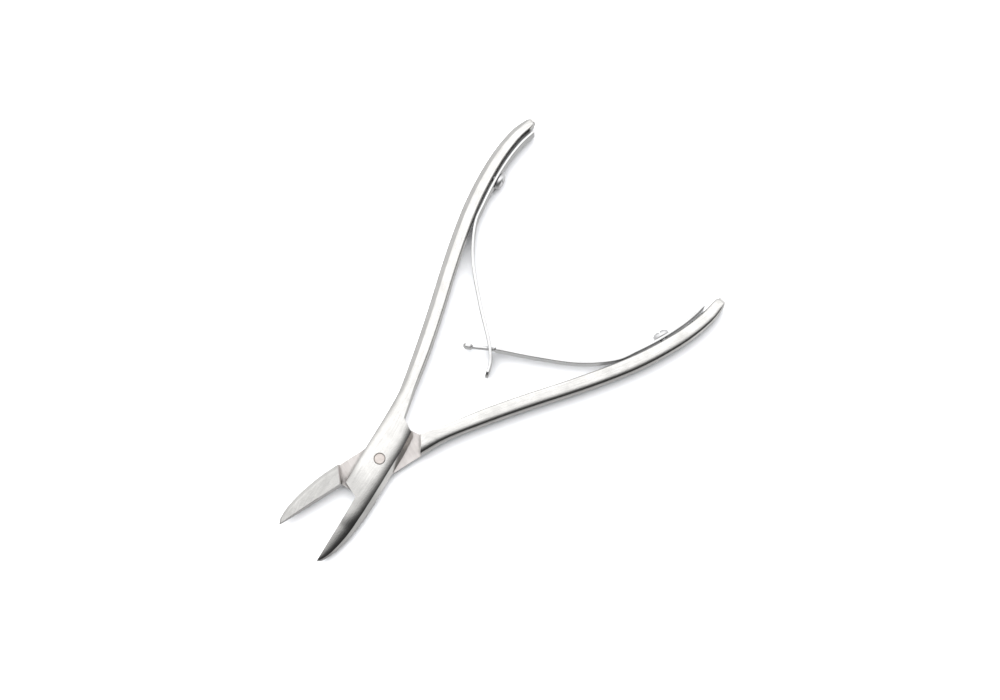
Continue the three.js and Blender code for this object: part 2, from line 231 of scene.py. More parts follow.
def loft(name, rings, material=None):
    """A closed bar through rings of points, with flat ends. Its grain runs along it."""
    sides = len(rings[0])
    vertices = [point for ring in rings for point in ring]
    middles = [np.mean(ring, axis=0) for ring in rings]
    along = np.cumsum([0] + [np.linalg.norm(b - a) for a, b in zip(middles, middles[1:])])
    uvs = []
    for ring, distance in zip(rings, along):
        steps = np.linalg.norm(np.diff(ring, axis=0), axis=1)
        around = np.concatenate([[0], np.cumsum(steps)])
        uvs += [(u * MM, distance * MM) for u in around]
    faces = []
    for r in range(len(rings) - 1):
        this, following = r * sides, (r + 1) * sides
        for s in range(sides):
            after = (s + 1) % sides
            faces.append((this + s, this + after, following + after, following + s))
    faces.append(tuple(reversed(range(sides))))
    faces.append(tuple(range((len(rings) - 1) * sides, len(rings) * sides)))
    piece = mesh_object(name, vertices, faces, uvs, material)
    tidy_mesh(piece)
    return piece


def tidy_mesh(piece):
    """Merges points that coincide and turns every face outwards."""
    bm = bmesh.new()
    bm.from_mesh(piece.data)
    bmesh.ops.remove_doubles(bm, verts=bm.verts, dist=MERGE_DISTANCE)
    bmesh.ops.dissolve_degenerate(bm, edges=bm.edges, dist=MERGE_DISTANCE)
    bmesh.ops.recalc_face_normals(bm, faces=bm.faces)
    bm.to_mesh(piece.data)
    bm.free()


def turned(name, profile, sides=64, material=None):
    """A solid of revolution about Z from (radius, z) pairs that start and end on the axis."""
    vertices = [(0, 0, profile[0][1]), (0, 0, profile[-1][1])]
    uvs = [(0, 0), (0, 0)]
    inner = profile[1:-1]
    for radius, z in inner:
        for s in range(sides):
            angle = 2 * math.pi * s / sides
            vertices.append((radius * math.cos(angle), radius * math.sin(angle), z))
            uvs.append((radius * math.cos(angle) * MM, radius * math.sin(angle) * MM))
    faces = []
    for s in range(sides):
        after = (s + 1) % sides
        faces.append((0, 2 + after, 2 + s))
        last = 2 + (len(inner) - 1) * sides
        faces.append((1, last + s, last + after))
        for r in range(len(inner) - 1):
            low, high = 2 + r * sides, 2 + (r + 1) * sides
            faces.append((low + s, low + after, high + after, high + s))
    piece = mesh_object(name, vertices, faces, uvs, material)
    tidy_mesh(piece)
    return piece


def cut(piece, *cutters):
    """Takes the cutters away from the piece, and removes them."""
    for cutter in cutters:
        modifier = piece.modifiers.new("cut", "BOOLEAN")
        modifier.operation = "DIFFERENCE"
        modifier.solver = "EXACT"
        modifier.object = cutter
        modifier.material_mode = "TRANSFER"
        apply_modifiers(piece)
        bpy.data.objects.remove(cutter, do_unlink=True)


def apply_modifiers(piece):
    """Replaces the piece's mesh by what its modifiers make of it."""
    bpy.context.view_layer.update()
    graph = bpy.context.evaluated_depsgraph_get()
    made = bpy.data.meshes.new_from_object(piece.evaluated_get(graph), depsgraph=graph)
    made.name = piece.name
    piece.modifiers.clear()
    piece.data = made


def shade(piece):
    """Smooth shading with real edges kept sharp."""
    piece.data.polygons.foreach_set("use_smooth", [True] * len(piece.data.polygons))
    piece.data.set_sharp_from_angle(angle=SHARP_ANGLE)
    modifier = piece.modifiers.new("normals", "WEIGHTED_NORMAL")
    modifier.keep_sharp = True
    modifier.weight = 50


def place(piece, matrix):
    piece.data.transform(matrix)
    piece.data.update()


# ---------------------------------------------------------------- the arm


def quarter(width, height, power, facet):
    """A quarter of a cross-section from its side to its crown, as (distance in from the side, height).

    The first FACET_POINTS spans run over the flat facet, where it has one.
    """
    inset = min(facet / max(width, 1e-6), FACET_MOST)
    crease = math.acos((1 - inset) ** (power / 2)) if facet > 0 else UNFACETED_SPLIT
    angles = [crease * i / FACET_POINTS for i in range(FACET_POINTS)]
    rest = QUARTER_POINTS - FACET_POINTS
    angles += [lerp(crease, math.pi / 2, i / rest) for i in range(rest + 1)]
    shape = []
    for angle in angles:
        across = max(math.cos(angle), 0.0) ** (2 / power)
        shape.append(np.array([width * (1 - across), height * math.sin(angle) ** (2 / power)]))
    if facet > 0:
        shape[:FACET_POINTS] = [shape[FACET_POINTS] * (i / FACET_POINTS) for i in range(FACET_POINTS)]
    return shape


def bevelled_quarter(width, height, bevel, drop):
    """The outer quarter of the jaw's flat underside: a wall, a wide flat bevel and the flat."""
    bevel = min(bevel, BEVEL_MOST * width)
    drop = min(drop, DROP_MOST * height)
    shape = [np.array([0, (height - drop) * i / FACET_POINTS]) for i in range(FACET_POINTS)]
    shape.append(np.array([0, height - drop]))
    for i in range(1, BEVEL_POINTS + 1):
        shape.append(np.array([bevel * i / BEVEL_POINTS, height - drop + drop * i / BEVEL_POINTS]))
    rest = QUARTER_POINTS - FACET_POINTS - BEVEL_POINTS
    shape += [np.array([lerp(bevel, width, i / rest), height]) for i in range(1, rest + 1)]
    return shape


def cross_section(width, depth, crown, left_power, right_power, facets, flat_under, under_power):
    """The section as (distance from the left side, height) pairs, clockwise from the left side."""
    left, right = width * crown, width * (1 - crown)
    rising = quarter(left, depth, left_power, facets[0])
    falling = quarter(right, depth, right_power, facets[1])
    upper = [(x, z) for x, z in rising] + [(width - x, z) for x, z in reversed(falling[:-1])]
    under_right = falling
    under_left = quarter(left, depth, max(left_power, under_power), 0)
    if flat_under:
        under_right = bevelled_quarter(right, depth, JAW_BEVEL, JAW_BEVEL_DROP)
    lower = [(width - x, -z) for x, z in under_right[1:]]
    lower += [(x, -z) for x, z in reversed(under_left[1:-1])]
    return np.array(upper + lower)


def facet_width(y):
    share = (y - FACET_NARROWS_FROM) / (FACET_NARROWS_TO - FACET_NARROWS_FROM)
    return lerp(PLATE_FACET, TIP_FACET, min(max(share, 0), 1))


def stretch(stations, count, left_facet, right_facet_at, flat_under, under_power=0):
    """The rings of one stretch of the arm. Each has its left and right ends and its section, which holds
    (share of the width, height) pairs.
    """
    left = spline([s[0] for s in stations], count)
    right = spline([s[1] for s in stations], count)
    numbers = np.array([s[2:] for s in stations], float)
    rings = []
    for i in range(count):
        along = i / (count - 1) * (len(stations) - 1)
        before = min(int(along), len(stations) - 2)
        depth, crown, left_power, right_power = lerp(numbers[before], numbers[before + 1], along - before)
        width = np.linalg.norm(right[i] - left[i])
        facets = (left_facet, right_facet_at(right[i][1]))
        powers = (left_power, right_power)
        section = cross_section(width, depth, crown, *powers, facets, flat_under, under_power)
        section[:, 0] /= width
        rings.append({"left": left[i], "right": right[i], "section": section})
    return rings


def placed(ring):
    """A ring's points in the arm's frame, with z = 0 at the lap's sliding plane."""
    points = []
    for share, z in ring["section"]:
        x, y = lerp(ring["left"], ring["right"], share)
        points.append(np.array([x, y, z]))
    return points


def clamped(ring, low, high):
    """The part of a ring between two shares of its width, with the rest pressed onto its ends."""
    section = ring["section"].copy()
    section[:, 0] = (np.clip(section[:, 0], low, high) - low) / (high - low)
    return {
        "left": lerp(ring["left"], ring["right"], low),
        "right": lerp(ring["left"], ring["right"], high),
        "section": section,
    }


def eased(rings, start, reach):
    """Lets the rings grow out of the section at the shoulder over the first reach of them."""
    for i, ring in enumerate(rings):
        share = smoothstep(i / reach)
        ring["section"] = lerp(start["section"], ring["section"], share)


def rounded_end(ring, inward, radius):
    """Rings that close an end with a small round, given the direction that the arm runs away in."""
    made = []
    middle = np.mean(placed(ring), axis=0)
    steps = 4
    for i in range(steps, 0, -1):
        angle = math.pi / 2 * i / steps
        shrink = 1 - radius * (1 - math.cos(angle)) / np.max(np.abs(ring["section"][:, 1]))
        points = [middle + (p - middle) * shrink for p in placed(ring)]
        made.append([p - np.array([*inward, 0]) * radius * math.sin(angle) for p in points])
    return made


def arm_blank(name, material):
    """The whole arm before its lap is cut."""
    jaw = stretch(JAW_STATIONS, RINGS["jaw"], 0, facet_width, True)
    plate = stretch(PLATE_STATIONS, RINGS["plate"], 0, facet_width, True, UNDER_POWER)
    handle = stretch(
        HANDLE_STATIONS, RINGS["handle"], HANDLE_FACET, lambda y: 0, False, UNDER_POWER
    )

    shoulder_at_jaw = clamped(plate[0], shoulder_share(plate[0], JAW_SHOULDER[0]), 1)
    shoulder_at_handle = clamped(plate[-1], 0, shoulder_share(plate[-1], HANDLE_SHOULDER[0]))
    jaw.reverse()
    eased(jaw, shoulder_at_jaw, JAW_EASE)
    jaw.reverse()
    eased(handle, shoulder_at_handle, HANDLE_EASE)

    tip = rounded_end(jaw[0], np.array([0, 1.0]), TIP_ROUND)
    end_way = handle[-2]["left"] - handle[-1]["left"]
    end = rounded_end(handle[-1], end_way / np.linalg.norm(end_way), END_ROUND)
    rings = tip + [placed(r) for r in jaw] + [placed(r) for r in plate] + [placed(r) for r in handle]
    rings += list(reversed(end))
    return loft(name, rings, material)


def shoulder_share(ring, point):
    """How far along a ring, from left to right, a shoulder's inner corner lies."""
    whole = ring["right"] - ring["left"]
    return float(np.dot(np.array(point) - ring["left"], whole) / np.dot(whole, whole))


def step_line(shoulder, gap):
    """The mirror image of a shoulder's line, long at both ends and moved away from the joint."""
    inner, outer = (np.array([-x, y], float) for x, y in shoulder)
    along = (outer - inner) / np.linalg.norm(outer - inner)
    away = np.array([-along[1], along[0]])
    if away @ inner < 0:
        away = -away
    reach = 12
    return inner - along * reach + away * gap, outer + along * reach + away * gap


def lap_recess(material):
    """The room for the other arm's lap plate, with rounded feet and chamfered mouths on its steps."""
    floor = LAP_GAP / 2
    levels = []
    turns = 6
    for i in range(turns + 1):
        angle = math.pi / 2 * i / turns
        levels.append((floor - STEP_FILLET * (1 - math.cos(angle)), -STEP_FILLET * (1 - math.sin(angle))))
    levels.append((-MID + STEP_CHAMFER, 0))
    levels.append((-MID - 1, 1 + STEP_CHAMFER))
    vertices = []
    for z, flare in levels:
        handle_inner, handle_outer = step_line(HANDLE_SHOULDER, STEP_GAP + flare)
        jaw_inner, jaw_outer = step_line(JAW_SHOULDER, STEP_GAP + flare)
        vertices += [(*p, z) for p in (handle_outer, jaw_inner, jaw_outer, handle_inner)]
    faces = [(0, 1, 2, 3), tuple(reversed(range(len(vertices) - 4, len(vertices))))]
    for level in range(len(levels) - 1):
        for s in range(4):
            a, b = level * 4 + s, level * 4 + (s + 1) % 4
            faces.append((a, a + 4, b + 4, b))
    uvs = [(y * MM, x * MM) for x, y, _ in vertices]
    cutter = mesh_object("lap_recess", vertices, faces, uvs, material)
    tidy_mesh(cutter)
    return cutter


def rivet_hole():
    shank = RIVET_SHANK_RADIUS + RIVET_CLEARANCE
    head = RIVET_RADIUS + RIVET_CLEARANCE
    return turned("rivet_hole", [
        (0, -1),
        (shank, -1),
        (shank, MID - RIVET_HEAD_DEPTH),
        (head, MID - RIVET_CHAMFER),
        (head + RIVET_CHAMFER + 0.5, MID + 0.5),
        (0, MID + 0.5),
    ])


HANDLE_INSIDE = spline([s[1] for s in HANDLE_STATIONS], 4000)


def inside_at(y):
    """The point and the inward direction on the handle's inner side, drawn closed."""
    index = int(np.searchsorted(HANDLE_INSIDE[:, 1], y))
    index = min(max(index, 1), len(HANDLE_INSIDE) - 2)
    tangent = HANDLE_INSIDE[index + 1] - HANDLE_INSIDE[index - 1]
    tangent /= np.linalg.norm(tangent)
    return HANDLE_INSIDE[index], np.array([tangent[1], -tangent[0]])


def screw_seat():
    """The matrix that puts a solid made about Z at the screw, its +Z pointing out of the handle."""
    point, inward = inside_at(SCREW_STATION)
    out = Vector((*inward, 0))
    turn = Vector((0, 0, 1)).rotation_difference(out).to_matrix().to_4x4()
    return Matrix.Translation(Vector((*point, 0)) * MM) @ turn


def screw_hole(low, high):
    radius = SCREW_SHANK_RADIUS + SCREW_CLEARANCE
    hole = turned("screw_hole", [(0, low), (radius, low), (radius, high), (0, high)])
    place(hole, screw_seat())
    return hole


def arm(name, material, recess_material):
    """The face-up arm, drawn closed, with z = 0 at the lap's sliding plane."""
    piece = arm_blank(name, material)
    hole_depth = SCREW_DEPTH + SCREW_CLEARANCE
    cut(piece, lap_recess(recess_material), rivet_hole(), screw_hole(-hole_depth, 1))
    tidy_mesh(piece)
    return piece


# ---------------------------------------------------------------- rivet and screws


def rivet(name, material):
    """A flush rivet, its rims chamfered and its faces ground level with the plates."""
    foot = RIVET_CLEARANCE
    half = [
        (RIVET_RADIUS - RIVET_CHAMFER, MID),
        (RIVET_RADIUS, MID - RIVET_CHAMFER),
        (RIVET_SHANK_RADIUS, MID - RIVET_HEAD_DEPTH - foot),
    ]
    profile = [(0, -MID)] + [(r, -z) for r, z in half] + list(reversed(half)) + [(0, MID)]
    return turned(name, profile, 96, material)


def screw(name, material):
    """A slotted screw with a domed head, about Z, its seat at the height of the leaf's inner face."""
    seat = LEAF_SEAT_GAP + LEAF_THICKNESS + SCREW_CLEARANCE
    rim = seat + SCREW_RIM_SHARE * SCREW_HEAD_HEIGHT
    profile = [(0, -SCREW_DEPTH), (SCREW_SHANK_RADIUS, -SCREW_DEPTH), (SCREW_SHANK_RADIUS, seat)]
    profile += [(SCREW_HEAD_RADIUS - SCREW_EDGE, seat), (SCREW_HEAD_RADIUS, seat + SCREW_EDGE)]
    steps = 9
    for i in range(steps + 1):
        angle = math.pi / 2 * i / steps
        radius = SCREW_HEAD_RADIUS * math.cos(angle) ** SCREW_DOME_POWER
        height = rim + (seat + SCREW_HEAD_HEIGHT - rim) * math.sin(angle)
        profile.append((radius if i < steps else 0, height))
    piece = turned(name, profile, 72, material)
    top = seat + SCREW_HEAD_HEIGHT
    cut(piece, slot_cutter(top))
    place(piece, screw_seat())
    return piece


def slot_cutter(top):
    """A screwdriver slot with slightly opened lips, across a head whose top is at the height given."""
    half = SCREW_SLOT_WIDTH / 2
    lip = SCREW_SLOT_LIP
    reach = 1.5 * SCREW_HEAD_RADIUS
    outline = [
        (-half, top - SCREW_SLOT_DEPTH),
        (half, top - SCREW_SLOT_DEPTH),
        (half, top - 2 * lip),
        (half + lip, top),
        (half + lip, top + 1),
        (-half - lip, top + 1),
        (-half - lip, top),
        (-half, top - 2 * lip),
    ]
    return prism("screw_slot", outline, lambda a, b, side: (side * reach, a, b))


def prism(name, outline, corner, material=None):
    """A prism between two copies of an outline. corner(a, b, side) places a point, side -1 or 1."""
    count = len(outline)
    vertices = [corner(a, b, side) for side in (-1, 1) for a, b in outline]
    faces = [tuple(range(count)), tuple(reversed(range(count, 2 * count)))]
    faces += [(i, i + count, (i + 1) % count + count, (i + 1) % count) for i in range(count)]
    piece = mesh_object(name, vertices, faces, None, material)
    tidy_mesh(piece)
    return piece


# ---------------------------------------------------------------- leaf springs


def leaf_path(start, tip):
    """The middle of the leaf on the left handle, open, at evenly spaced places, and its tangents."""
    turn = np.array([
        [math.cos(OPEN_ANGLE), -math.sin(OPEN_ANGLE)],
        [math.sin(OPEN_ANGLE), math.cos(OPEN_ANGLE)],
    ])
    seated = []
    for y in np.linspace(start, LEAF_SEAT_LAST, 7):
        point, inward = inside_at(y)
        gap = lerp(LEAF_SEAT_GAP, LEAF_END_GAP, max(0, (y - SCREW_STATION) / (start - SCREW_STATION)))
        seated.append(turn @ (point + inward * (gap + LEAF_THICKNESS / 2)))
    dense = spline([*seated, *LEAF_FREE_PATH, LEAF_CROSSING, *tip], 4000)
    lengths = np.concatenate([[0], np.cumsum(np.linalg.norm(np.diff(dense, axis=0), axis=1))])
    even = np.linspace(0, lengths[-1], LEAF_STEPS + 1)
    path = np.stack([np.interp(even, lengths, dense[:, k]) for k in (0, 1)], axis=1)
    tangents = np.gradient(path, axis=0)
    tangents /= np.linalg.norm(tangents, axis=1)[:, None]
    return path, tangents, lengths[-1]


def rounded_rectangle(thickness, height):
    """A leaf's section as (across, up) pairs, its four edges rounded."""
    corner = min(LEAF_CORNER, 0.45 * thickness)
    turns = 4
    points = []
    for side, (sx, sz) in enumerate(((1, 1), (-1, 1), (-1, -1), (1, -1))):
        for i in range(turns + 1):
            angle = math.pi / 2 * (side + i / turns)
            points.append((
                sx * (thickness / 2 - corner) + corner * math.cos(angle),
                sz * (height / 2 - corner) + corner * math.sin(angle),
            ))
        # one more point halfway down or across the straight side, for even shading
        if side in (0, 2):
            points.append((0, sz * height / 2))
        else:
            points.append((sx * thickness / 2, 0))
    return points


def leaf(name, start, tip, size_at, material):
    """A leaf on edge. size_at(distance, length) gives its height and thickness along it."""
    path, tangents, length = leaf_path(start, tip)
    rings = []
    for i, (point, tangent) in enumerate(zip(path, tangents)):
        height, thickness = size_at(length * i / LEAF_STEPS, length)
        across = np.array([tangent[1], -tangent[0]])
        ring = []
        for a, b in rounded_rectangle(thickness, height):
            ring.append(np.array([*(point + across * a), b]))
        rings.append(ring)
    return loft(name, end_chamfers(rings), material)


def end_chamfers(rings):
    """Draws in the two end rings a little, so that the ends have no razor edges."""
    made = [list(ring) for ring in rings]
    for index in (0, -1):
        middle = np.mean(made[index], axis=0)
        made[index] = [middle + (p - middle) * np.array(LEAF_END_SHARES) for p in made[index]]
    return made


def crossing_distance(start, tip):
    """How far along a leaf it crosses the pliers' middle plane, and its direction there."""
    path, tangents, length = leaf_path(start, tip)
    index = int(np.searchsorted(path[:, 0], LEAF_CROSSING[0]))
    return length * index / LEAF_STEPS, tangents[index]


def leaf_screw_hole():
    hole = screw_hole(-1, 3)
    place(hole, Matrix.Rotation(OPEN_ANGLE, 4, "Z"))
    return hole


def slotted_leaf(name, material):
    ends = (SLOTTED_LEAF_START, SLOTTED_LEAF_TIP)

    def size_at(distance, length):
        bevelled = max(0.0, distance - (length - LEAF_TIP_BEVEL))
        return LEAF_WIDTH - 2 * bevelled, LEAF_THICKNESS

    piece = leaf(name, *ends, size_at, material)
    _, tangent = crossing_distance(*ends)
    across = np.array([tangent[1], -tangent[0]])
    round_end = SLOT_HEIGHT / 2
    outline = []
    turns = 12
    for side in (1, -1):
        for i in range(turns + 1):
            angle = math.pi * (i / turns - 0.5)
            outline.append((
                side * (SLOT_REACH - round_end + round_end * math.cos(angle)),
                side * round_end * math.sin(angle),
            ))
    reach = 2 * LEAF_THICKNESS
    cutter = prism(
        "leaf_slot",
        outline,
        lambda a, b, side: (*(np.array(LEAF_CROSSING) + tangent * a + across * side * reach), b),
    )
    cut(piece, cutter, leaf_screw_hole())
    return piece


def tongue_leaf(name, material):
    ends = (TONGUE_LEAF_START, TONGUE_LEAF_TIP)
    crossing, _ = crossing_distance(*ends)
    neck = crossing - TONGUE_SETBACK

    def size_at(distance, length):
        to_tongue = smoothstep((distance - neck) / TONGUE_EASE)
        to_knob = smoothstep((distance - (length - KNOB_LENGTH)) / TONGUE_EASE + 0.5)
        bevelled = max(0.0, (distance - (length - KNOB_TIP_BEVEL)) / KNOB_TIP_BEVEL)
        rounding = 1 - bevelled * KNOB_TIP_TAPER
        height = lerp(lerp(LEAF_WIDTH, TONGUE_HEIGHT, to_tongue), KNOB_HEIGHT * rounding, to_knob)
        return height, lerp(LEAF_THICKNESS, KNOB_THICKNESS * rounding, to_knob)

    piece = leaf(name, *ends, size_at, material)
    cut(piece, leaf_screw_hole())
    return piece


# ---------------------------------------------------------------- materials

PITS_PER_METRE = 2600.0
STREAK_BREAKS = 90.0  # along a metre of a streak
STREAK_SHARE = 0.45  # of the streaks in the tone, the rest being mottle
TONE_RANGE = (0.36, 0.62)  # of the noise, from the dark tone to the light one
FINISH_RANGE = (0.35, 0.65)  # of the noise, from the roughest to the smoothest
BUMP_DEPTH = 0.00003
# Painted shade: the steel's colour is darkened where faces lie close together, where shade falls.
CREVICE_REACH = 0.0021  # metres
CREVICE_OPENNESS = (0.38, 0.75)  # share of the sky seen, from full painted shade to none
CREVICE_SHADE_TONE = 0.03
JAW_TONE = 0.72  # of the jaw's steel, compared with the plate's and the handle's
JAW_DULLS = (0.026, 0.034)  # metres from the jaw's tip, from all of that tone to none of it


def node(tree, kind, at=(0, 0), **inputs):
    """A shader node with its unlinked inputs set by name."""
    made = tree.nodes.new(kind)
    made.location = at
    for name, value in inputs.items():
        made.inputs[name.replace("_", " ")].default_value = value
    return made


def ramp(tree, source, stops, at=(0, 0)):
    made = tree.nodes.new("ShaderNodeValToRGB")
    made.location = at
    elements = made.color_ramp.elements
    while len(elements) < len(stops):
        elements.new(0.5)
    for element, (position, colour) in zip(elements, stops):
        element.position = position
        element.color = (*colour, 1)
    tree.links.new(source, made.inputs["Fac"])
    return made


def steel(name, light, dark, roughness, mottle_size, streaks, bumps, duller_jaw=False, without_painted_shade=False):
    """Worked steel: mottled tone, fine streaks along the grain, and roughness that varies with both.

    roughness is (least, most). mottle_size is in metres. streaks is how many cross a millimetre.
    bumps is the strengths of the bumps that the streaks and the fine pits make. With the last flag set a
    piece has no painted shade; otherwise its colour is darkened in its crevices as painted shade.
    """
    streak_depth, pitting = bumps
    material = bpy.data.materials.new(name)
    material.use_nodes = True
    tree = material.node_tree
    tree.nodes.clear()
    output = node(tree, "ShaderNodeOutputMaterial", (900, 0))
    shader = node(tree, "ShaderNodeBsdfPrincipled", (600, 0), Metallic=1.0)
    grain = node(tree, "ShaderNodeUVMap", (-1000, 0))
    grain.uv_map = "grain"
    place_of = node(tree, "ShaderNodeTexCoord", (-1000, -300))

    along = node(tree, "ShaderNodeMapping", (-800, 0), Scale=(1000 * streaks, STREAK_BREAKS, 1.0))
    tree.links.new(grain.outputs["UV"], along.inputs["Vector"])
    streak = node(tree, "ShaderNodeTexNoise", (-600, 0), Scale=1.0, Detail=4.0, Roughness=0.6)
    tree.links.new(along.outputs["Vector"], streak.inputs["Vector"])

    mottle = node(
        tree, "ShaderNodeTexNoise", (-600, -300), Scale=1 / mottle_size, Detail=5.0, Roughness=0.55
    )
    tree.links.new(place_of.outputs["Object"], mottle.inputs["Vector"])

    both = node(tree, "ShaderNodeMath", (-350, -150))
    both.operation = "MULTIPLY_ADD"
    both.inputs[1].default_value = STREAK_SHARE
    mottle_part = times(tree, mottle.outputs["Fac"], 1 - STREAK_SHARE, (-450, -320))
    tree.links.new(streak.outputs["Fac"], both.inputs[0])
    tree.links.new(mottle_part, both.inputs[2])

    tones = list(zip(TONE_RANGE, (dark, light)))
    tone = ramp(tree, both.outputs["Value"], tones, (-100, 150))
    # painted shade: the colour is darkened in crevices, gaps and creases
    colour = tone.outputs["Color"] if without_painted_shade else crevice_painted_shade(tree, tone.outputs["Color"])
    if duller_jaw:
        colour = dulled_jaw(tree, grain.outputs["UV"], colour)
    tree.links.new(colour, shader.inputs["Base Color"])

    finish = node(tree, "ShaderNodeMapRange", (-100, -150))
    finish.inputs["From Min"].default_value = FINISH_RANGE[0]
    finish.inputs["From Max"].default_value = FINISH_RANGE[1]
    finish.inputs["To Min"].default_value = roughness[1]
    finish.inputs["To Max"].default_value = roughness[0]
    tree.links.new(both.outputs["Value"], finish.inputs["Value"])
    tree.links.new(finish.outputs["Result"], shader.inputs["Roughness"])

    pits = node(tree, "ShaderNodeTexNoise", (0, -500), Scale=PITS_PER_METRE, Detail=2.0)
    tree.links.new(place_of.outputs["Object"], pits.inputs["Vector"])
    pitted = node(tree, "ShaderNodeBump", (150, -400), Strength=pitting, Distance=BUMP_DEPTH)
    tree.links.new(pits.outputs["Fac"], pitted.inputs["Height"])
    bump = node(tree, "ShaderNodeBump", (300, -300), Strength=streak_depth, Distance=BUMP_DEPTH)
    tree.links.new(streak.outputs["Fac"], bump.inputs["Height"])
    tree.links.new(pitted.outputs["Normal"], bump.inputs["Normal"])
    tree.links.new(bump.outputs["Normal"], shader.inputs["Normal"])
    tree.links.new(shader.outputs["BSDF"], output.inputs["Surface"])
    return material


def toned(tree, colour, tone, at=(0, 0)):
    """A colour times a number."""
    made = node(tree, "ShaderNodeVectorMath", at)
    made.operation = "MULTIPLY"
    tree.links.new(colour, made.inputs[0])
    tree.links.new(tone, made.inputs[1])
    return made.outputs["Vector"]


def crevice_painted_shade(tree, colour):
    """The colour, darkened as painted shade where two faces lie close together."""
    openness = node(tree, "ShaderNodeAmbientOcclusion", (-300, 500), Distance=CREVICE_REACH)
    openness.samples = 8
    open_face = smooth(tree, openness.outputs["AO"], *CREVICE_OPENNESS, (-100, 500))
    return toned(tree, colour, mixed(tree, open_face, CREVICE_SHADE_TONE, 1.0, (50, 500)), (200, 300))


def dulled_jaw(tree, grain, colour):
    """The colour with the jaw's share of it darker. The grain's V is the distance from the jaw's tip."""
    split = node(tree, "ShaderNodeSeparateXYZ", (-100, 400))
    tree.links.new(grain, split.inputs["Vector"])
    past_jaw = smooth(tree, split.outputs["Y"], *JAW_DULLS, (50, 400))
    return toned(tree, colour, mixed(tree, past_jaw, JAW_TONE, 1.0, (200, 400)), (350, 250))


def floor_material():
    """Matt white board with the faintest mottle."""
    material = bpy.data.materials.new("white_board")
    material.use_nodes = True
    tree = material.node_tree
    shader = tree.nodes["Principled BSDF"]
    shader.inputs["Roughness"].default_value = 0.9
    shader.inputs["Specular IOR Level"].default_value = 0.1
    noise = node(tree, "ShaderNodeTexNoise", (-500, 0), Scale=40.0, Detail=2.0)
    tones = [(0.3, (0.85, 0.86, 0.88)), (0.7, (0.87, 0.875, 0.895))]
    tone = ramp(tree, noise.outputs["Fac"], tones)
    tree.links.new(tone.outputs["Color"], shader.inputs["Base Color"])
    return material


# ---------------------------------------------------------------- studio


def make_camera():
    data = bpy.data.cameras.new("camera")
    data.lens = CAMERA_LENS
    data.sensor_width = 36
    data.clip_start, data.clip_end = 0.01, 20
    camera = bpy.data.objects.new("camera", data)
    bpy.context.scene.collection.objects.link(camera)
    flat = math.cos(CAMERA_ELEVATION)
    back = Vector((
        math.sin(CAMERA_AZIMUTH) * flat,
        -math.cos(CAMERA_AZIMUTH) * flat,
        math.sin(CAMERA_ELEVATION),
    ))
    camera.location = Vector(CAMERA_AIM) + back * CAMERA_DISTANCE
    camera.rotation_euler = (-back).to_track_quat("-Z", "Y").to_euler()
    bpy.context.scene.camera = camera


FLOOR_HALF = 3000  # millimetres
FLOOR_DROP = 0.02 * MM  # below the pliers


def make_floor():
    half = FLOOR_HALF
    corners = [(-half, -half, 0), (half, -half, 0), (half, half, 0), (-half, half, 0)]
    floor = mesh_object("floor", corners, [(0, 1, 2, 3)], None, floor_material())
    floor.location.z = -FLOOR_DROP
    floor.visible_glossy = False


# The studio's brightness is set by direction. The camera and the dark room behind it are reflected from
# one side, TO_CAMERA, and the lamps from the other. Each list holds (place, brightness) pairs.
TO_CAMERA = (math.sin(CAMERA_AZIMUTH), -math.cos(CAMERA_AZIMUTH), 0.0)
TO_RIGHT = (math.cos(CAMERA_AZIMUTH), math.sin(CAMERA_AZIMUTH), 0.0)
RIGHT_SHARE = 0.35  # of the right-hand direction in the way from the lit side to the dark one
LAMPS = [
    (-1.0, 1.0), (-0.6, 1.2), (-0.3, 1.4), (-0.15, 1.35), (-0.04, 1.15), (0.08, 0.8), (0.2, 0.45),
    (0.35, 0.2), (0.55, 0.07), (1.0, 0.03),
]
LAMPS_BY_HEIGHT = [(0.0, 0.66), (0.15, 0.74), (0.4, 0.8), (0.65, 0.88), (0.85, 1.0), (1.0, 1.0)]
BOARD_LEFT, BOARD_RIGHT = 0.66, 0.75  # the white board as it shows in the steel from each side
BOARD_NEAR_CAMERA = 0.4
BOARD_BELOW = 0.5
BRIGHTEST = 2.0  # colour ramps hold values up to 1, so they hold shares of this
HORIZON = 0.06  # half the height of the blend between the lamps and the board
# Where each part of the board fades in: sideways, towards the camera, and straight down.
FADE_RIGHT, FADE_NEAR, FADE_BELOW = (0.0, 0.6), (0.6, 0.85), (-0.8, -0.95)


def dot(tree, source, way, at=(0, 0)):
    made = node(tree, "ShaderNodeVectorMath", at)
    made.operation = "DOT_PRODUCT"
    made.inputs[1].default_value = way
    tree.links.new(source, made.inputs[0])
    return made.outputs["Value"]


def smooth(tree, source, low, high, at=(0, 0)):
    """0 where the source is below low, 1 above high and smooth between."""
    made = node(tree, "ShaderNodeMapRange", at)
    made.interpolation_type = "SMOOTHSTEP"
    made.inputs["From Min"].default_value = low
    made.inputs["From Max"].default_value = high
    tree.links.new(source, made.inputs["Value"])
    return made.outputs["Result"]


def mixed(tree, share, first, second, at=(0, 0)):
    """The first value where share is 0 and the second where it is 1. Each is a number or a socket."""
    made = node(tree, "ShaderNodeMix", at)
    made.data_type = "FLOAT"
    tree.links.new(share, made.inputs["Factor"])
    for name, value in (("A", first), ("B", second)):
        if isinstance(value, float):
            made.inputs[name].default_value = value
        else:
            tree.links.new(value, made.inputs[name])
    return made.outputs["Result"]


def brightness_curve(tree, source, stops, lowest, at=(0, 0)):
    """A brightness read off a list of (value of the source, brightness), from the lowest value to 1."""
    spread = node(tree, "ShaderNodeMapRange", (at[0] - 200, at[1]))
    spread.inputs["From Min"].default_value = lowest
    tree.links.new(source, spread.inputs["Value"])
    greys = [((v - lowest) / (1 - lowest), (b / BRIGHTEST,) * 3) for v, b in stops]
    return ramp(tree, spread.outputs["Result"], greys, at).outputs["Color"]


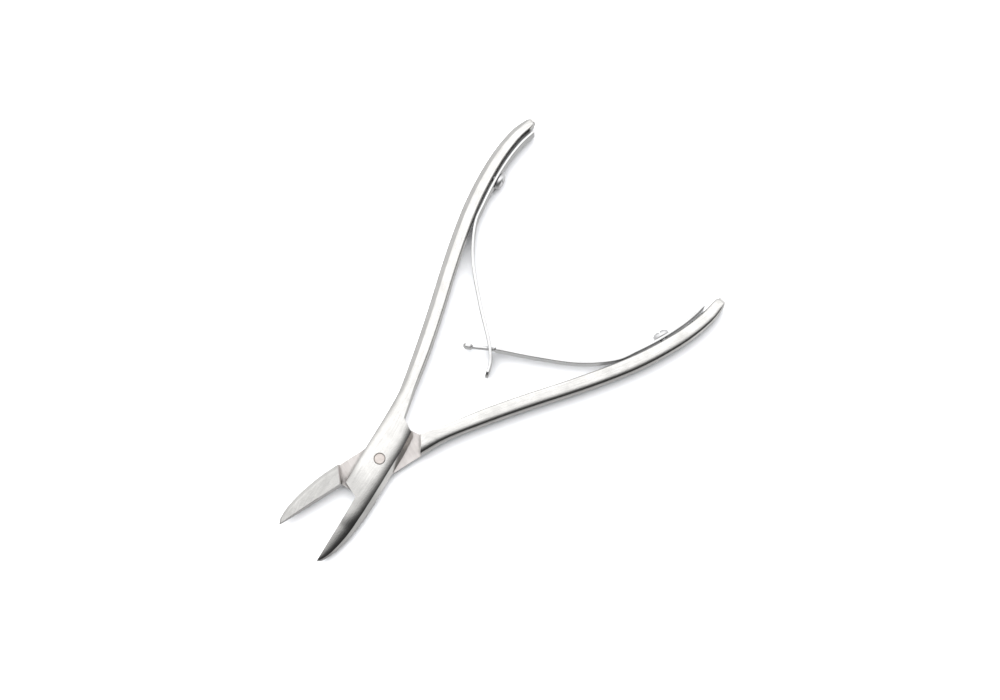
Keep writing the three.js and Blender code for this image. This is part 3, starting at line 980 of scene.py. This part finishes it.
def times(tree, first, second, at=(0, 0)):
    made = node(tree, "ShaderNodeMath", at)
    made.operation = "MULTIPLY"
    tree.links.new(first, made.inputs[0])
    if isinstance(second, float):
        made.inputs[1].default_value = second
    else:
        tree.links.new(second, made.inputs[1])
    return made.outputs["Value"]


def lamp_brightness(tree, way, height):
    """What the steel sees above the horizon."""
    leaning = node(tree, "ShaderNodeMath", (-500, 300))
    leaning.operation = "MULTIPLY_ADD"
    leaning.inputs[1].default_value = RIGHT_SHARE
    tree.links.new(dot(tree, way, TO_RIGHT, (-700, 400)), leaning.inputs[0])
    tree.links.new(dot(tree, way, TO_CAMERA, (-700, 250)), leaning.inputs[2])
    lamps = brightness_curve(tree, leaning.outputs["Value"], LAMPS, -1.0, (-100, 350))
    by_height = brightness_curve(tree, height, LAMPS_BY_HEIGHT, 0.0, (-100, 100))
    return times(tree, times(tree, lamps, by_height, (200, 250)), BRIGHTEST * BRIGHTEST, (350, 250))


def board_brightness(tree, way, height):
    """What the steel sees below the horizon."""
    level = node(tree, "ShaderNodeVectorMath", (-700, -200))
    level.operation = "MULTIPLY"
    level.inputs[1].default_value = (1, 1, 0)
    tree.links.new(way, level.inputs[0])
    unit = node(tree, "ShaderNodeVectorMath", (-550, -200))
    unit.operation = "NORMALIZE"
    tree.links.new(level.outputs["Vector"], unit.inputs[0])
    compass = unit.outputs["Vector"]
    rightward = dot(tree, compass, TO_RIGHT, (-400, -150))
    to_right = smooth(tree, rightward, *FADE_RIGHT, (-250, -150))
    cameraward = dot(tree, compass, TO_CAMERA, (-400, -350))
    to_camera = smooth(tree, cameraward, *FADE_NEAR, (-250, -350))
    sides = mixed(tree, to_right, BOARD_LEFT, BOARD_RIGHT, (-50, -150))
    board = mixed(tree, to_camera, sides, BOARD_NEAR_CAMERA, (100, -200))
    below = smooth(tree, height, *FADE_BELOW, (-50, -400))
    return mixed(tree, below, board, BOARD_BELOW, (250, -250))


def make_world():
    """A soft studio: lamps over and behind the pliers, and a dark room round the camera."""
    world = bpy.data.worlds.new("studio")
    bpy.context.scene.world = world
    world.use_nodes = True
    tree = world.node_tree
    tree.nodes.clear()
    output = node(tree, "ShaderNodeOutputWorld", (1100, 0))
    way = node(tree, "ShaderNodeTexCoord", (-1100, 0)).outputs["Generated"]
    split = node(tree, "ShaderNodeSeparateXYZ", (-900, 0))
    tree.links.new(way, split.inputs["Vector"])
    height = split.outputs["Z"]
    above = smooth(tree, height, -HORIZON, HORIZON, (400, 0))
    board = board_brightness(tree, way, height)
    seen = mixed(tree, above, board, lamp_brightness(tree, way, height), (550, 0))
    studio = node(tree, "ShaderNodeBackground", (750, 0))
    tree.links.new(seen, studio.inputs["Color"])
    backdrop = node(tree, "ShaderNodeBackground", (750, -200), Color=(1, 1, 1, 1), Strength=1.0)
    path = node(tree, "ShaderNodeLightPath", (750, 300))
    choose = node(tree, "ShaderNodeMixShader", (950, 0))
    tree.links.new(path.outputs["Is Camera Ray"], choose.inputs["Fac"])
    tree.links.new(studio.outputs["Background"], choose.inputs[1])
    tree.links.new(backdrop.outputs["Background"], choose.inputs[2])
    tree.links.new(choose.outputs["Shader"], output.inputs["Surface"])


KEY_SIZE = 1.7
KEY_POWER = 36.0
KEY_PLACE, KEY_AIM = (-0.4, 0.25, 0.95), (0, 0.05, 0)


def make_key_light():
    """A soft box that whitens the floor and drops soft shadows towards the shaded side."""
    data = bpy.data.lights.new("soft_box", "AREA")
    data.shape = "RECTANGLE"
    data.size = data.size_y = KEY_SIZE
    data.energy = KEY_POWER
    light = bpy.data.objects.new("soft_box", data)
    bpy.context.scene.collection.objects.link(light)
    light.location = KEY_PLACE
    aim = Vector(KEY_AIM) - light.location
    light.rotation_euler = aim.to_track_quat("-Z", "Y").to_euler()
    light.visible_glossy = False


# ---------------------------------------------------------------- assembly


def make_steels():
    """The arms' satin steel, the ground steel of their laps, and the springs', rivet's and screws'."""
    return (
        steel(
            "satin_steel", (0.88, 0.87, 0.85), (0.74, 0.73, 0.71), (0.18, 0.28),
            0.004, 3.0, (0.3, 0.85), duller_jaw=True,
        ),
        steel("ground_lap", (0.84, 0.8, 0.78), (0.7, 0.66, 0.64), (0.34, 0.46), 0.003, 3.0, (0.5, 0.2)),
        steel(
            "spring_steel", (0.86, 0.86, 0.86), (0.74, 0.74, 0.74), (0.14, 0.24), 0.006, 2.0, (0.15, 0.04)
        ),
        steel(
            "rivet_steel", (0.88, 0.81, 0.77), (0.74, 0.67, 0.63), (0.36, 0.5), 0.0012, 3.0, (0.3, 0.2)
        ),
        # the screws get no painted shade in their crevices
        steel(
            "screw_steel", (0.94, 0.94, 0.95), (0.84, 0.84, 0.85), (0.3, 0.42),
            0.002, 2.0, (0.15, 0.04), without_painted_shade=True,
        ),
    )


def attach(piece, stands_for):
    """Ties a piece to its body; the springs stay unparented, with their placing baked into their meshes.
    """
    if stands_for == "upper_spring":
        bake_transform(piece)
    elif stands_for == "lower_spring":
        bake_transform(piece)
    elif stands_for in ("upper_arm", "upper_spring_screw"):
        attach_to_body(piece, "upper_arm")
    else:
        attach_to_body(piece, "lower_arm")


def main():
    make_camera()
    make_floor()
    make_world()
    make_key_light()
    scene = bpy.context.scene
    scene.view_settings.view_transform = "Standard"

    satin, ground, spring_steel, rivet_steel, screw_steel = make_steels()
    raised = Matrix.Translation((0, 0, MID * MM))
    opened = Matrix.Rotation(OPEN_ANGLE, 4, "Z")
    turned_over = Matrix.Rotation(math.pi, 4, "Y")
    face_up = raised @ opened
    face_down = raised @ turned_over @ opened

    pieces = [
        (arm("upper_arm_fine", satin, ground), face_up, "upper_arm", "satin_steel"),
        (arm("lower_arm_fine", satin, ground), face_down, "lower_arm", "satin_steel"),
        (rivet("pivot_rivet_fine", rivet_steel), raised, "pivot_rivet", "rivet_steel"),
        (screw("upper_screw_fine", screw_steel), face_up, "upper_spring_screw", "screw_steel"),
        (screw("lower_screw_fine", screw_steel), face_down, "lower_spring_screw", "screw_steel"),
        (slotted_leaf("upper_spring_fine", spring_steel), raised, "upper_spring", "spring_steel"),
        (
            tongue_leaf("lower_spring_fine", spring_steel), raised @ turned_over,
            "lower_spring", "spring_steel",
        ),
    ]
    for piece, where, stands_for, slot in pieces:
        place(piece, where)
        shade(piece)
        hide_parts(stands_for)
        attach(piece, stands_for)


main()
